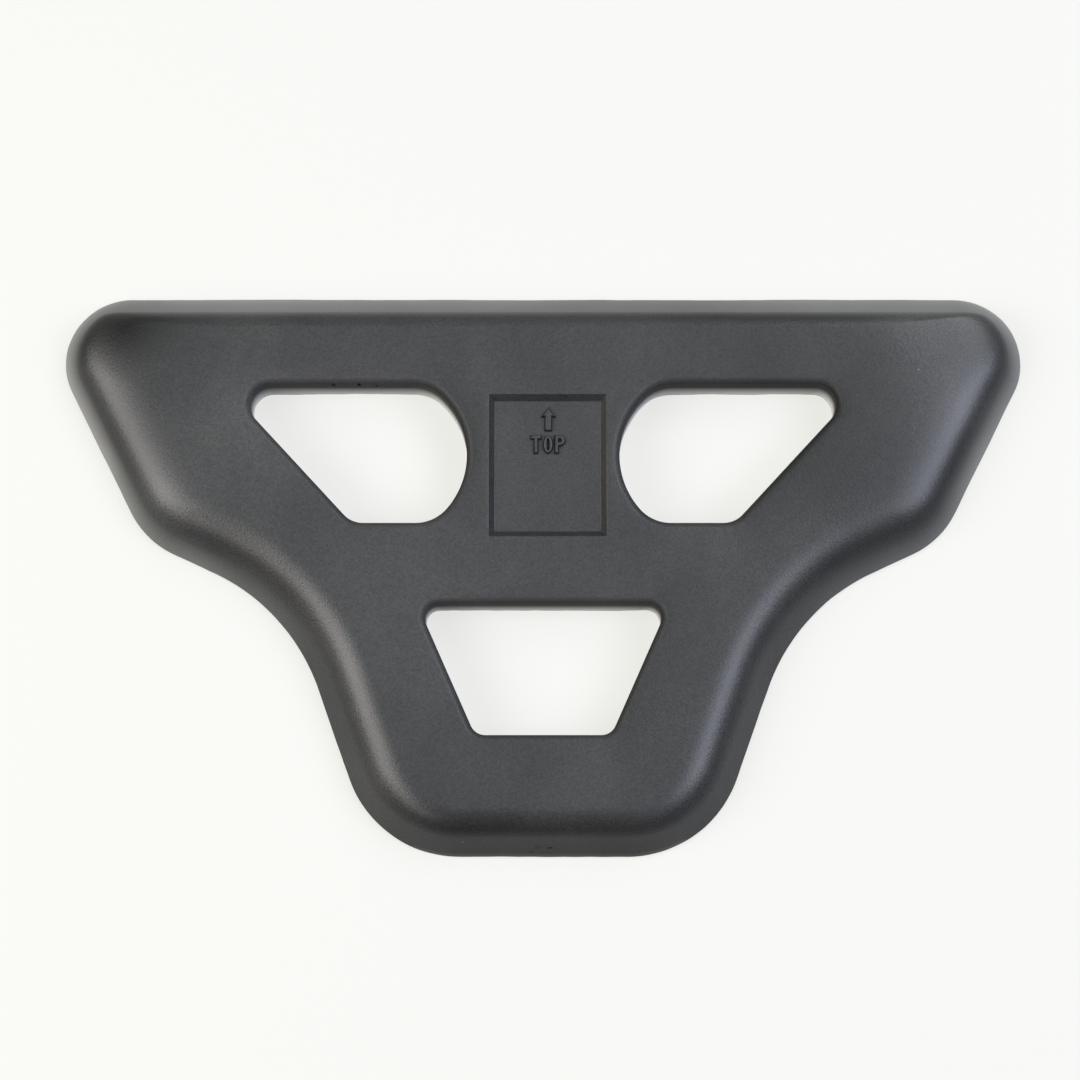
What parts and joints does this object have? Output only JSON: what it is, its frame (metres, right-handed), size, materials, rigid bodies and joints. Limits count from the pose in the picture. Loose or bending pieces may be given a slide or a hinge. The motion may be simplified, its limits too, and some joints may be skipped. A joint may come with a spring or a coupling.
{
  "type": "tailbone protector",
  "caption": "Wide moulded foam pad that guards the tailbone: flared wings, a tapering tail, windows right through it and a sunk panel with a raised arrow on its face.",
  "frame": {"origin": "middle of the pad's box, on the flat back that it rests on", "axes": "+X across the hips to the right as seen from the face, +Y towards the straight top edge, +Z out of the face"},
  "size_m": [0.27, 0.1574, 0.015],
  "materials": {
    "foam": "dark grey moulded foam with a satin skin and a fine grain"
  },
  "bodies": {
    "root": {"pad": "foam"}
  },
  "joints": []
}
